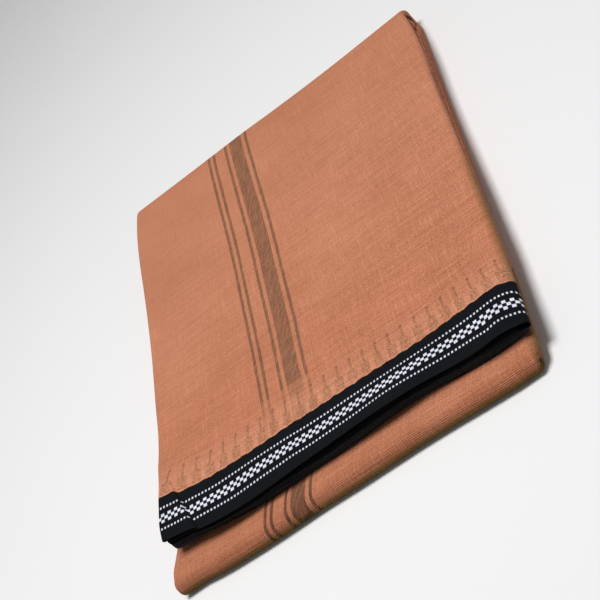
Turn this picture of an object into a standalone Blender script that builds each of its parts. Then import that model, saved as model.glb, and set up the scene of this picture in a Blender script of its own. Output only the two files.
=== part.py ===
"""A new dhoti cloth, folded into a flat parcel.

One woven length is gathered into sixteen layers, with the last crease (the spine) on the +X side. That band
is folded across its middle (the near fold, -Y) and folded again (the far fold, +Y), so that both black
borders end on top, just short of the near fold. The band therefore runs in four passes, one over another: the
flap on top, the underside, the lower panel and the inner flap. Sizes are in millimetres until a mesh is
written, in metres. The origin is on the resting surface, in the middle of the parcel; +X is to the spine, +Y
to the far fold.
"""

from collections import namedtuple
from math import cos, pi, radians, sin

import bmesh
import bpy
from mathutils import Vector

MM = 0.001

# Driving sizes
BAND = 4.8                 # thickness of sixteen layers
GAP = 0.3                  # clearance between solids that lie on each other
WALL = 1.0                 # thickness of the outermost stretches
COVER = WALL + GAP         # depth at which the hidden layers start under a wall
BORDER_COVER = COVER + 0.1
NEAR_COVER = COVER + 0.2
REACH = 168.0              # from the middle to the outside of either fold
BORDER = 32.3              # depth of the woven border, selvedge to body cloth
BORDER_EDGE = -118.6       # where the border meets the body cloth
LOWER_END = -122.0         # where the lower panel ends, under the flap
NEAR_RADIUS = 5.85         # outside of the near fold, which stands a little proud
SPINE_RADIUS = BAND / 2    # hairpin of the spine
SPINE_END = -55.0          # angle to which the outermost layer goes round the spine
LEFT_ROLL = 1.5            # how the outermost layer turns down at the left
LEFT_ROLL_END = 185.0
PASS_GAP = 0.3             # between the two passes that meet at a fold
CENTRE_X = 0.25            # middle of the parcel in the tables below, which is written at the origin
CENTRE_Y = 0.6

# Set-back of the hidden border ends behind the outermost selvedge, and in from the left edge: upper, lower
UPPER_SET_BACK = 1.6
UPPER_SET_IN = 0.8
LOWER_SET_BACK = 0.0
LOWER_SET_IN = 3.4

# Left lips of the band: two folded groups, uneven along their length
LIP_BACK = 0.35            # from the parcel's edge
LIP_ROUND = 0.35           # rounding of a group
LIP_GROOVE = 1.3           # depth of the groove between them
LIP_TOP = 1.9              # where the upper group meets the flat of the band
LIP_START = 1.5            # depth of the upper group, in covers
LIP_SHIFTS = (1.7, 4.6)    # of each group's waviness
SPINE_FOOT = 0.8           # where the inner face leaves the spine

STACK = 4 * BAND + 3 * PASS_GAP
FAR_RADIUS = STACK / 2
MIDDLE = STACK / 2
FAR_CENTRE = REACH - FAR_RADIUS
NEAR_CENTRE = NEAR_RADIUS - REACH
INNER_TURN = PASS_GAP / 2

# Columns across the flat of the band, closer where the corner lifts and beside the spine
ACROSS = (0.0, 0.015, 0.03, 0.045, 0.06, 0.075, 0.09, 0.11, 0.14, 0.19, 0.26, 0.34, 0.42, 0.50, 0.58, 0.66,
          0.74, 0.82, 0.87, 0.91, 0.955, 1.0)
LEFT_POINTS = 8            # of the section, round its two folded groups
UNDER_HIDDEN = (0.93, 0.5, 0.01)
UNDER_SHOWN = ACROSS[-2:0:-1]

# Stations along the folded path
FLAP_Y = (-111.7, -104.8, -97.9, -91.0, -84.0, -70.0, -43.8, -17.5, 8.7, 35.0, 61.2, 87.5, 113.7, 140.0,
          150.0)
LOWER_Y = (-158.1, -153.0, -147.8, -142.6, -137.5, -132.3, -127.2)
HIDDEN_Y = (-121.1, -91.0, -60.8, -30.6, -0.4, 29.8, 60.0, 90.2, 120.4, 153.9)
INNER_Y = (153.9, 129.2, 104.4, 79.6, 54.9, 30.1, 5.4, -19.4, -44.2, -68.9, -93.7)
BOTTOM_COUNT = 10
FAR_COUNT = 10
NEAR_COUNT = 11
TURN_COUNT = 5
ROLL_COUNT = 5
SPINE_COUNT = 8
HAIRPIN_COUNT = 7
BORDER_COUNT = 11

# Rounded nose of the hidden border ends: place from the front to the back, and share of the full thickness
NoseRow = namedtuple("NoseRow", "place full")
NOSE = (
    NoseRow(0.0, 0.45),
    NoseRow(0.02, 0.8),
    NoseRow(0.07, 1.0),
    NoseRow(0.25, 1.0),
    NoseRow(0.375, 1.0),
    NoseRow(0.5, 1.0),
    NoseRow(0.625, 1.0),
    NoseRow(0.75, 1.0),
    NoseRow(0.875, 1.0),
    NoseRow(1.0, 1.0),
)

# Left and right edges of the parcel: top pass, lower passes, and how far the underside stands back, right
EdgeRow = namedtuple("EdgeRow", "y left_top left_low right_top right_low right_back")
EDGES = (
    EdgeRow(-168.0, -108.2, -114.4, 122.0, 115.5, 0.4),
    EdgeRow(-163.0, -108.2, -114.9, 122.0, 117.8, 1.6),
    EdgeRow(-156.0, -108.2, -114.9, 122.0, 118.9, 2.4),
    EdgeRow(-150.0, -108.3, -113.3, 122.0, 119.2, 2.7),
    EdgeRow(-140.0, -108.5, -111.4, 122.0, 119.3, 2.8),
    EdgeRow(-125.0, -108.8, -112.0, 122.0, 119.6, 2.8),
    EdgeRow(-110.0, -110.0, -113.2, 122.1, 119.8, 2.7),
    EdgeRow(-88.0, -112.9, -114.6, 122.4, 119.8, 2.4),
    EdgeRow(-60.0, -112.6, -115.4, 121.7, 119.4, 1.8),
    EdgeRow(-36.0, -113.4, -116.2, 121.2, 118.9, 1.2),
    EdgeRow(5.0, -114.3, -117.2, 119.8, 118.1, 0.3),
    EdgeRow(43.0, -116.2, -118.6, 118.7, 117.9, 0.0),
    EdgeRow(77.0, -118.5, -119.6, 118.3, 117.9, 0.0),
    EdgeRow(106.0, -120.7, -120.5, 118.5, 117.9, 0.0),
    EdgeRow(132.0, -121.9, -120.8, 118.2, 117.9, 0.0),
    EdgeRow(150.0, -121.6, -120.2, 117.8, 117.8, 0.0),
    EdgeRow(160.0, -120.8, -119.0, 117.4, 117.4, 0.0),
    EdgeRow(168.0, -118.4, -117.0, 116.6, 116.4, 0.0),
)

# Front of the flap, left to right: where each selvedge ends and how far the outermost one curls up
FrontRow = namedtuple("FrontRow", "x outer_y inner_y curl")
FRONT = (
    FrontRow(-112.0, -139.5, -141.0, 0.0),
    FrontRow(-109.0, -143.0, -143.5, 0.0),
    FrontRow(-106.0, -147.0, -145.8, 0.0),
    FrontRow(-102.0, -149.0, -146.8, 0.0),
    FrontRow(-90.0, -150.3, -147.6, 0.0),
    FrontRow(-80.0, -151.6, -148.2, 0.0),
    FrontRow(-62.0, -152.3, -149.0, 0.2),
    FrontRow(-42.0, -151.6, -149.4, 0.3),
    FrontRow(-20.0, -150.9, -149.6, 1.1),
    FrontRow(8.0, -150.9, -149.2, 2.5),
    FrontRow(36.0, -150.7, -148.2, 3.4),
    FrontRow(57.0, -149.4, -148.2, 1.9),
    FrontRow(80.0, -150.2, -150.0, 0.4),
    FrontRow(98.0, -151.8, -150.0, 0.5),
    FrontRow(106.0, -151.5, -149.7, 0.4),
    FrontRow(113.0, -151.2, -149.2, 0.3),
    FrontRow(121.5, -151.4, -148.4, 0.0),
)

# Unevenness of the two folds, left to right
FoldRow = namedtuple("FoldRow", "x far near")
FOLDS = (
    FoldRow(-121.5, 1.6, 0.3),
    FoldRow(-110.0, 1.5, 0.7),
    FoldRow(-99.0, 1.3, 1.2),
    FoldRow(-87.0, 1.1, 0.0),
    FoldRow(-65.0, 0.9, -0.5),
    FoldRow(-45.0, 0.8, -0.2),
    FoldRow(-20.0, 0.6, 0.9),
    FoldRow(5.0, -0.7, 1.0),
    FoldRow(48.0, -1.5, 1.8),
    FoldRow(98.0, 0.0, 0.5),
    FoldRow(110.0, 0.5, 1.0),
    FoldRow(121.5, 1.1, 1.6),
)

FOLD_FROM = 90.0           # a fold's unevenness starts this far from the middle
FOLD_RUN = 70.0

# The flap's front: it rides up over the near fold, and its left corner is lifted. Each starts at a place on
# the y axis (the lift also on the x axis) and grows over a run.
FRONT_RISE = 1.5
FRONT_RISE_Y = -100.0
FRONT_RISE_RUN = 48.0
CORNER_LIFT = 4.6          # of the whole flap
CORNER_X = -50.0
CORNER_RUN_X = 70.0
CORNER_Y = -72.0
CORNER_RUN_Y = 46.0
CREASE_LIFT = 2.4          # more, on the outermost layer left of its crease
CREASE_START = Vector((-103.0, -104.0))
CREASE_END = Vector((-86.0, -148.0))
CREASE_RUN = 4.0           # width of the crease's slope
CREASE_Y = -84.0
CREASE_FADE = 30.0
SPINE_HUMP = 1.9           # soft rise of the outermost border beside the spine
SPINE_HUMP_X = 105.0
SPINE_HUMP_WIDTH = 9.0
SPINE_HUMP_Y = -92.0
SPINE_HUMP_FADE = 40.0
CURL_START = 4.0           # in front of the body cloth, where the border starts to curl
LOWER_SINK = 40.0          # run over which the lower panel sinks from the near fold

SHARP_ANGLE = 50.0         # edges above it, in degrees, are shaded sharp

# Colours: linear red, green, blue, alpha
PEACH = (0.50, 0.185, 0.098, 1.0)
PEACH_LOW = (0.45, 0.16, 0.083, 1.0)
BORDER_BLACK = (0.011, 0.012, 0.016, 1.0)

Station = namedtuple("Station", "y z angle flap cover")


def smooth(t):
    """Ease from 0 to 1."""
    t = min(max(t, 0.0), 1.0)
    return t * t * (3.0 - 2.0 * t)


def look_up(rows, key, column, at):
    """Read a column of a table at any place, with a smooth curve through its rows."""
    keys = [getattr(row, key) for row in rows]
    values = [getattr(row, column) for row in rows]
    if at <= keys[0]:
        return values[0]
    if at >= keys[-1]:
        return values[-1]
    i = max(k for k in range(len(keys) - 1) if keys[k] <= at)

    def slope(k):
        low = max(k - 1, 0)
        high = min(k + 1, len(keys) - 1)
        return (values[high] - values[low]) / (keys[high] - keys[low])

    span = keys[i + 1] - keys[i]
    t = (at - keys[i]) / span
    rise = values[i + 1] - values[i]
    a = slope(i) * span - rise
    b = rise - slope(i + 1) * span
    return values[i] + t * rise + t * (1 - t) * (a * (1 - t) + b * t)


def steps(start, end, count):
    """Evenly spaced values, both ends included."""
    return [start + (end - start) * i / (count - 1) for i in range(count)]


def edge(side, y, z):
    """The parcel's left or right edge at a height: the underside, the middle and the top pass differ."""
    low = look_up(EDGES, "y", side + "_low", y)
    top = look_up(EDGES, "y", side + "_top", y)
    if side == "right":
        low -= look_up(EDGES, "y", "right_back", y) * smooth(1.0 - z / (MIDDLE - PASS_GAP))
    return low + (top - low) * smooth((z - MIDDLE) / (STACK - MIDDLE))


# ---- the folded path of the band, as stations on its outer face ----

def lower_top(y):
    """Height of the lower panel: it sinks from the near fold to the pass above."""
    low = MIDDLE - PASS_GAP / 2
    high = 2 * NEAR_RADIUS
    return low + (high - low) * (1.0 - smooth((y - NEAR_CENTRE) / LOWER_SINK))


def front_rise(y):
    """The flap stands a little higher towards its front."""
    return FRONT_RISE * smooth((FRONT_RISE_Y - y) / FRONT_RISE_RUN)


def top_run(places):
    return [Station(y, STACK + front_rise(y), 90.0, 1.0, COVER) for y in places]


def far_fold():
    stations = []
    for angle in steps(90.0, -90.0, FAR_COUNT):
        y = FAR_CENTRE + FAR_RADIUS * cos(radians(angle))
        z = MIDDLE + FAR_RADIUS * sin(radians(angle))
        stations.append(Station(y, z, angle, 0.0, COVER))
    return stations


def bottom_run():
    places = steps(FAR_CENTRE - GAP, NEAR_CENTRE + 2 * GAP, BOTTOM_COUNT)
    return [Station(y, 0.0, -90.0, 0.0, COVER) for y in places]


def near_fold():
    stations = []
    for angle in steps(-90.0, -270.0, NEAR_COUNT):
        y = NEAR_CENTRE + NEAR_RADIUS * cos(radians(angle))
        z = NEAR_RADIUS + NEAR_RADIUS * sin(radians(angle))
        stations.append(Station(y, z, angle, 0.0, NEAR_COVER))
    return stations


def lower_run(places, cover):
    return [Station(y, lower_top(y), 90.0, 0.0, cover) for y in places]


def inner_fold():
    stations = []
    for angle in steps(-90.0, 90.0, TURN_COUNT):
        y = FAR_CENTRE + INNER_TURN * cos(radians(angle))
        z = MIDDLE + INNER_TURN * sin(radians(angle))
        stations.append(Station(y, z, angle + 180.0, 0.0, 0.0))
    return stations


def inner_run(places):
    return [Station(y, MIDDLE + PASS_GAP / 2 + front_rise(y), -90.0, 1.0, 0.0) for y in places]


# ---- unevenness, the same for every piece that shares a place ----

def corner_lift(x, y):
    """The flap's front left corner stands clear of the lower panel."""
    return CORNER_LIFT * smooth((CORNER_X - x) / CORNER_RUN_X) * smooth((CORNER_Y - y) / CORNER_RUN_Y)


def outer_lift(x, y):
    """What the outermost layer does above the layers under it."""
    along = CREASE_END - CREASE_START
    across = ((x - CREASE_START.x) * along.y - (y - CREASE_START.y) * along.x) / along.length
    crease = CREASE_LIFT * smooth(0.5 + across / CREASE_RUN) * smooth((CREASE_Y - y) / CREASE_FADE)
    hump_share = smooth(1.0 - abs(x - SPINE_HUMP_X) / (2 * SPINE_HUMP_WIDTH))
    hump = SPINE_HUMP * hump_share * smooth((SPINE_HUMP_Y - y) / SPINE_HUMP_FADE)
    forward = smooth((BORDER_EDGE - CURL_START - y) / (BORDER - CURL_START))
    return crease + hump + look_up(FRONT, "x", "curl", x) * forward


def settle(x, y, z, flap):
    """Move a point of the even parcel to where the cloth lies."""
    far = look_up(FOLDS, "x", "far", x) * smooth((y - FOLD_FROM) / FOLD_RUN)
    near = look_up(FOLDS, "x", "near", x) * smooth((-FOLD_FROM - y) / FOLD_RUN) * (1.0 - flap)
    return Vector((x - CENTRE_X, y + far + near - CENTRE_Y, z + flap * corner_lift(x, y))) * MM


def wave(y, shift):
    """Small unevenness of a folded edge along its length."""
    return 0.35 * sin(0.047 * y + shift) + 0.2 * sin(0.121 * y + 2.3 * shift)


# ---- meshes ----

def material(name, colour, roughness):
    shade = bpy.data.materials.new(name)
    shade.use_nodes = True
    node = shade.node_tree.nodes["Principled BSDF"]
    node.inputs["Base Color"].default_value = colour
    node.inputs["Roughness"].default_value = roughness
    node.inputs["Metallic"].default_value = 0.0
    return shade


def finish(piece, collection, shade):
    """File the object in the parcel's collection, with its material and smooth shading."""
    for holder in list(piece.users_collection):
        holder.objects.unlink(piece)
    collection.objects.link(piece)
    piece.data.materials.clear()
    piece.data.materials.append(shade)
    piece.data.shade_smooth()
    piece.data.set_sharp_from_angle(angle=radians(SHARP_ANGLE))


def wall(name, rows, shade, collection):
    """An open sheet through rows of points, left to right, thickened inwards."""
    columns = len(rows[0])
    bpy.ops.mesh.primitive_grid_add(x_subdivisions=columns - 1, y_subdivisions=len(rows) - 1, size=1.0)
    piece = bpy.context.object
    piece.name = name
    piece.data.name = name
    for i, vertex in enumerate(piece.data.vertices):
        vertex.co = rows[i // columns][i % columns]
    thick = piece.modifiers.new("Cloth", "SOLIDIFY")
    thick.thickness = WALL * MM
    thick.offset = -1.0
    finish(piece, collection, shade)
    return piece


def cap(form, ring, paired):
    """Close one end. Where the first columns of the ring face as many on the inner side, they are bridged."""
    if not paired:
        form.faces.new(ring)
        return
    last = len(ring) - 1 - LEFT_POINTS
    for i in range(paired - 1):
        form.faces.new((ring[i], ring[i + 1], ring[last - i - 1], ring[last - i]))
    form.faces.new(ring[paired - 1:last - paired + 2])
    form.faces.new([ring[0]] + ring[last:])


def loft(name, loops, shade, collection, paired=0):
    """A closed solid through loops of equal length, capped at both ends."""
    mesh = bpy.data.meshes.new(name)
    form = bmesh.new()
    rings = [[form.verts.new(point) for point in loop] for loop in loops]
    count = len(rings[0])
    for first, second in zip(rings, rings[1:]):
        for i in range(count):
            j = (i + 1) % count
            form.faces.new((first[i], first[j], second[j], second[i]))
    cap(form, rings[0], paired)
    cap(form, rings[-1], paired)
    bmesh.ops.triangulate(form, faces=[face for face in form.faces if len(face.verts) > 4])
    bmesh.ops.recalc_face_normals(form, faces=form.faces)
    form.to_mesh(mesh)
    form.free()
    piece = bpy.data.objects.new(name, mesh)
    collection.objects.link(piece)
    finish(piece, collection, shade)
    return piece


# ---- cross-sections of the band: (x, depth) from its outer face ----

def flat_x(left, right, fraction):
    """Place of a column on the flat of the band."""
    start = left + LEFT_ROLL
    return start + (right - SPINE_RADIUS - start) * fraction


def wall_profile(left, right):
    """The outermost layer: rolled down at the left, across, and round the spine."""
    points = []
    for angle in steps(LEFT_ROLL_END, 90.0, ROLL_COUNT):
        x = left + LEFT_ROLL + LEFT_ROLL * cos(radians(angle))
        points.append((x, LEFT_ROLL - LEFT_ROLL * sin(radians(angle))))
    for fraction in ACROSS[1:]:
        points.append((flat_x(left, right, fraction), 0.0))
    for angle in steps(90.0, SPINE_END, SPINE_COUNT)[1:]:
        x = right - SPINE_RADIUS + SPINE_RADIUS * cos(radians(angle))
        points.append((x, SPINE_RADIUS - SPINE_RADIUS * sin(radians(angle))))
    return points


def band_profile(left, right, cover, y, under):
    """The layers under a wall, or the whole band where nothing covers it: two folded groups at the left.

    under holds the columns of the inner face, right to left.
    """
    centre = right - SPINE_RADIUS
    turn = SPINE_RADIUS - cover
    points = [(flat_x(left, right, fraction), cover) for fraction in ACROSS[1:]]
    for angle in steps(90.0, -90.0, HAIRPIN_COUNT)[1:]:
        points.append((centre + turn * cos(radians(angle)), SPINE_RADIUS - turn * sin(radians(angle))))
    points.append((centre - SPINE_FOOT - cover, BAND - 0.6 * cover))
    points.append((centre - 2 * SPINE_FOOT - 1.4 * cover, BAND))
    points.extend((flat_x(left, right, fraction), BAND) for fraction in under)
    start = LIP_START * cover
    group = (BAND - start) / 2
    for number in (1, 0):
        out = left + LIP_BACK + wave(y, LIP_SHIFTS[number])
        low = start + group * number
        points.append((out + LIP_ROUND, low + 0.88 * group))
        points.append((out, low + 0.5 * group))
        points.append((out + LIP_ROUND, low + 0.12 * group))
        if number:
            points.append((out + LIP_GROOVE, low))
    points.append((left + LIP_TOP, start * 0.9 + 0.05))
    return points


def place(station, x, depth):
    """A point of the band's section, set on the folded path."""
    lean = radians(station.angle)
    y = station.y - depth * cos(lean)
    z = station.z - depth * sin(lean)
    return settle(x, y, z, station.flap)


def band_loop(station):
    left = edge("left", station.y, station.z)
    right = edge("right", station.y, station.z)
    profile = band_profile(left, right, station.cover, station.y, UNDER_HIDDEN)
    return [place(station, x, depth) for x, depth in profile]


def wall_row(station):
    left = edge("left", station.y, station.z)
    right = edge("right", station.y, station.z)
    row = []
    for x, depth in wall_profile(left, right):
        point = place(station, x, depth)
        point.z += station.flap * outer_lift(x, station.y) * MM
        row.append(point)
    return row


# ---- the stretches of the cloth ----

def outer_flap(shade, collection):
    stations = top_run((BORDER_EDGE + GAP,) + FLAP_Y)
    stations += far_fold()
    wall("outer_flap", [wall_row(s) for s in stations], shade, collection)


def outer_border(shade, collection):
    """The border lies between its uneven selvedge and the body cloth."""
    even = Station(0.0, STACK, 90.0, 1.0, COVER)
    rows = []
    for t in steps(0.0, 1.0, BORDER_COUNT):
        y_mid = BORDER_EDGE - BORDER * (1.0 - t)
        left = edge("left", y_mid, STACK)
        right = edge("right", y_mid, STACK)
        row = []
        for x, depth in wall_profile(left, right):
            front = look_up(FRONT, "x", "outer_y", x)
            y = front + (BORDER_EDGE - front) * t
            here = even._replace(y=y, z=STACK + front_rise(y))
            point = place(here, x, depth)
            point.z += outer_lift(x, y) * MM
            row.append(point)
        rows.append(row)
    wall("outer_border", rows, shade, collection)


def under_panel(shade, collection):
    wall("under_panel", [wall_row(s) for s in bottom_run()], shade, collection)


def lower_panel(shade, collection):
    stations = near_fold()
    stations += lower_run(LOWER_Y + (LOWER_END,), COVER)
    wall("lower_panel", [wall_row(s) for s in stations], shade, collection)


def upper_level(y, depth):
    return STACK + front_rise(y) - depth


def lower_level(y, depth):
    return MIDDLE + PASS_GAP / 2 + front_rise(y) + depth


def border_ends(name, level, cover, front_column, set_back, set_in, shade, collection):
    """The border ends of one pass of hidden layers: full at the back, rounded at the front."""
    middle = (BAND + cover) / 2
    loops = []
    for nose in NOSE:
        y_mid = BORDER_EDGE - BORDER * (1.0 - nose.place)
        left = edge("left", y_mid, STACK) + set_in
        right = edge("right", y_mid, STACK)
        loop = []
        for x, depth in band_profile(left, right, cover, y_mid, UNDER_SHOWN):
            front = look_up(FRONT, "x", front_column, x) + set_back
            y = front + (BORDER_EDGE - GAP / 2 - front) * nose.place
            rounded = middle + (depth - middle) * nose.full
            loop.append(settle(x, y, level(y, rounded), 1.0))
        loops.append(loop)
    loft(name, loops, shade, collection, paired=len(UNDER_SHOWN))


def hidden_layers(shade, collection):
    start = BORDER_EDGE + GAP / 2
    stations = top_run((start,) + FLAP_Y)
    stations += far_fold()
    stations += bottom_run()
    stations += near_fold()
    stations += lower_run(LOWER_Y + (LOWER_END, LOWER_END + GAP), COVER)
    stations += lower_run(HIDDEN_Y, 0.0)
    stations += inner_fold()
    stations += inner_run(INNER_Y + (start,))
    loft("hidden_layers", [band_loop(s) for s in stations], shade, collection)


def main():
    for item in list(bpy.data.objects):
        bpy.data.objects.remove(item)
    parcel = bpy.data.collections.new("Folded dhoti cloth")
    bpy.context.scene.collection.children.link(parcel)
    peach = material("Peach cotton", PEACH, 0.85)
    peach_low = material("Peach cotton, lower panel", PEACH_LOW, 0.85)
    black = material("Black border", BORDER_BLACK, 0.6)

    outer_flap(peach, parcel)
    outer_border(black, parcel)
    under_panel(peach_low, parcel)
    lower_panel(peach_low, parcel)
    hidden_layers(peach_low, parcel)
    border_ends("border_inner_layers", upper_level, BORDER_COVER, "outer_y",
                UPPER_SET_BACK, UPPER_SET_IN, black, parcel)
    border_ends("second_border", lower_level, 0.0, "inner_y",
                LOWER_SET_BACK, LOWER_SET_IN, black, parcel)



main()
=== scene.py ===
"""A new dhoti cloth, folded into a flat parcel and laid on a table.

The outermost stretches of the cloth are thin sheets that carry the woven chart: the flap with its border on
top, and the underside with the lower panel. What they hide is one closed form, layered at its edges. The
border ends of the hidden layers are two black closed forms under the flap's front. Sizes are in millimetres
until a mesh is written. The origin is on the table, under the parcel's middle, with +X to the spine and +Y to
the far fold.
"""

from collections import namedtuple
from functools import reduce
from math import pi, radians

import bpy
import numpy as np
from mathutils import Matrix


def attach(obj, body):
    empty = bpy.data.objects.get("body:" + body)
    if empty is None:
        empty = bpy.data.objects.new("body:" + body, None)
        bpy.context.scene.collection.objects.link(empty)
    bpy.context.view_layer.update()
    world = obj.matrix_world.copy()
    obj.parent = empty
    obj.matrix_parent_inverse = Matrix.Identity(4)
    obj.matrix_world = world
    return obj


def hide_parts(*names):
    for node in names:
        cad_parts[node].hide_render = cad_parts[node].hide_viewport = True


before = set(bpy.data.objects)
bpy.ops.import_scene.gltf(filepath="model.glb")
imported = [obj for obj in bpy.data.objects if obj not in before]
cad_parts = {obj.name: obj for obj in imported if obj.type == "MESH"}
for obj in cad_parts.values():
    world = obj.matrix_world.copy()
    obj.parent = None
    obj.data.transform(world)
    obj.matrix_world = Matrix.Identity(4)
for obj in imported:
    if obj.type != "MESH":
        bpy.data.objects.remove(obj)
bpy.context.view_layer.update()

bl_info = {
    "name": "Folded dhoti cloth",
    "version": (1, 0, 0),
    "blender": (4, 5, 0),
    "location": "3D View > Sidebar > Dhoti",
    "description": "Dresses a folded dhoti cloth over its packed frame",
    "category": "Object",
}

MM = 0.001
CENTRE = (0.25, 0.6, 0.0)  # of the parcel in its tables. The parcel is written around the origin
THREADS = "Threads"        # UV map: place on the cloth, across and along, in metres

# ---- the parcel's driving sizes, as in its solids ----
BAND = 4.8                 # thickness of sixteen layers
SPINE_RADIUS = BAND / 2
BORDER_EDGE = -118.6       # where the border meets the body cloth
BORDER_DEPTH = 32.3        # woven border, selvedge to body cloth
PASS_GAP = 0.3             # between two passes
NEAR_RADIUS = 5.85         # of the near fold
REACH = 168.0              # from the middle to either fold
STACK = 4 * BAND + 3 * PASS_GAP
MIDDLE = STACK / 2
LOWER_FACE = MIDDLE - PASS_GAP / 2
FLAP_FACE = MIDDLE + PASS_GAP / 2
FAR_RADIUS = MIDDLE
FAR_CENTRE = REACH - FAR_RADIUS
NEAR_CENTRE = NEAR_RADIUS - REACH
INNER_TURN = PASS_GAP / 2
FRONT_RISE = 1.5           # the flap rides up over the near fold
CORNER_LIFT = 4.6          # of the flap's front left corner
SPINE_HUMP = 1.9           # soft rise of the border beside the spine
SPINE_HUMP_X = 105.0
SPINE_HUMP_REACH = 18.0    # to either side

# ---- how the thin sheets lie ----
ROLL = 1.2                 # radius of the outermost fold at the left
ROLL_RETURN = (3.5, 2.2, 1.0)   # how far the sheet goes back under that fold, column by column
COVER = 0.55               # depth at which hidden layers start under a sheet
SHEET_RETURN = 5.0         # how far the sheet goes back under the spine
RETURN_STEPS = (0.3, 0.65, 1.0)
CREASE = ((-103.0, -104.0), (-86.0, -148.0))
CREASE_WIDTH = 1.7
EVEN_COLUMNS = (-60.0, 92.0)    # where the columns of a sheet are evenly spaced
FLAP_END = 128.0           # on the underside, where the flap's sheet meets the lower one
LOWER_END = -98.0          # where the lower sheet ends, under the flap
RIPPLE_HEIGHT = 0.28
SELVEDGE_SWAY = 0.12
TOWER_LEAN = 0.6           # how far forward the towers come for each millimetre that they fan out

# ---- where an unevenness grows: its start and its length, negative towards the front or the left ----
FRONT_RISE_RUN = (-100.0, -48.0)
CORNER_RUN_X = (-50.0, -70.0)
CORNER_RUN_Y = (-72.0, -46.0)
CREASE_RUN = (-94.0, -34.0)
CREASE_DRAW_RUN = (-106.0, -26.0)
SPINE_HUMP_RUN = (-92.0, -40.0)
CURL_RUN = (BORDER_EDGE - 4.0, 4.4 - BORDER_DEPTH)
FAR_FOLD_RUN = (90.0, 70.0)
NEAR_FOLD_RUN = (-90.0, -70.0)
LOWER_SINK_RUN = (NEAR_CENTRE, 40.0)
LOWER_COVER_RUN = (LOWER_END, 4.0)
RIPPLE_RUN_X = (90.0, -30.0)    # to either side of the middle
RIPPLE_RUN_Y = (150.0, -30.0)
LIPS_END_RUN = (-134.0, -8.0)   # where the folded groups of the border ends go over into its front
PULL_IN_RUN = (BORDER_EDGE, -20.0)

# ---- the same along the cloth, from the selvedge ----
FAN_RUN = (26.0, 12.0)
SPREAD_RUN = (32.0, 18.0)
DRIFT_END_RUN = (48.0, 30.0)


def table(columns, *rows):
    """Rows of values with named columns."""
    row_type = namedtuple("Row", columns)
    return tuple(row_type(*row) for row in rows)


# Left and right edges of the parcel: top pass, passes under it, and how far the underside stands back at the
# right
EDGES = table(
    "y left_top left_low right_top right_low right_back",
    (-168.0, -105.0, -114.4, 122.0, 115.5, 0.4),
    (-163.0, -105.0, -114.9, 122.0, 117.8, 1.6),
    (-156.0, -106.0, -114.9, 122.0, 118.9, 2.4),
    (-150.0, -107.0, -113.3, 122.0, 119.2, 2.7),
    (-140.0, -108.4, -111.4, 122.0, 119.3, 2.8),
    (-125.0, -108.8, -112.0, 122.0, 119.6, 2.8),
    (-110.0, -110.0, -113.2, 122.1, 119.8, 2.7),
    (-88.0, -112.9, -114.6, 122.4, 119.8, 2.4),
    (-60.0, -112.6, -115.4, 121.7, 119.4, 1.8),
    (-36.0, -113.4, -116.2, 121.2, 118.9, 1.2),
    (5.0, -114.3, -117.2, 119.8, 118.1, 0.3),
    (43.0, -116.2, -118.6, 118.7, 117.9, 0.0),
    (77.0, -118.5, -119.6, 118.3, 117.9, 0.0),
    (106.0, -120.7, -120.5, 118.5, 117.9, 0.0),
    (132.0, -121.9, -120.8, 117.6, 118.0, 0.0),
    (150.0, -121.6, -120.2, 116.0, 117.9, 0.0),
    (160.0, -120.8, -119.0, 114.7, 117.5, 0.0),
    (168.0, -118.4, -117.0, 116.6, 116.2, 0.0),
)

# Front of the flap, left to right: where each selvedge ends, how far the outermost one curls up, and how far
# the hidden ones stand back under it
FRONT = table(
    "x outer_y inner_y curl mouth",
    (-112.0, -144.0, -145.0, 0.0, 0.2),
    (-109.0, -145.8, -147.0, 0.0, 0.2),
    (-106.0, -148.6, -148.2, 0.0, 0.2),
    (-102.0, -149.3, -148.2, 0.0, 0.3),
    (-90.0, -150.3, -147.6, 0.0, 0.9),
    (-80.0, -151.6, -148.2, 0.0, 1.2),
    (-62.0, -152.3, -149.0, 0.2, 1.4),
    (-42.0, -151.6, -149.4, 0.3, 1.8),
    (-20.0, -150.9, -149.6, 1.1, 2.8),
    (8.0, -150.9, -149.2, 2.5, 3.6),
    (36.0, -150.7, -147.0, 3.4, 3.8),
    (57.0, -149.4, -147.2, 1.9, 3.4),
    (80.0, -150.2, -149.2, 0.4, 2.6),
    (98.0, -151.8, -150.0, 0.5, 3.6),
    (106.0, -151.5, -149.8, 0.4, 5.0),
    (113.0, -151.2, -149.2, 0.3, 5.5),
    (121.5, -151.4, -148.4, 0.0, 4.0),
)

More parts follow.
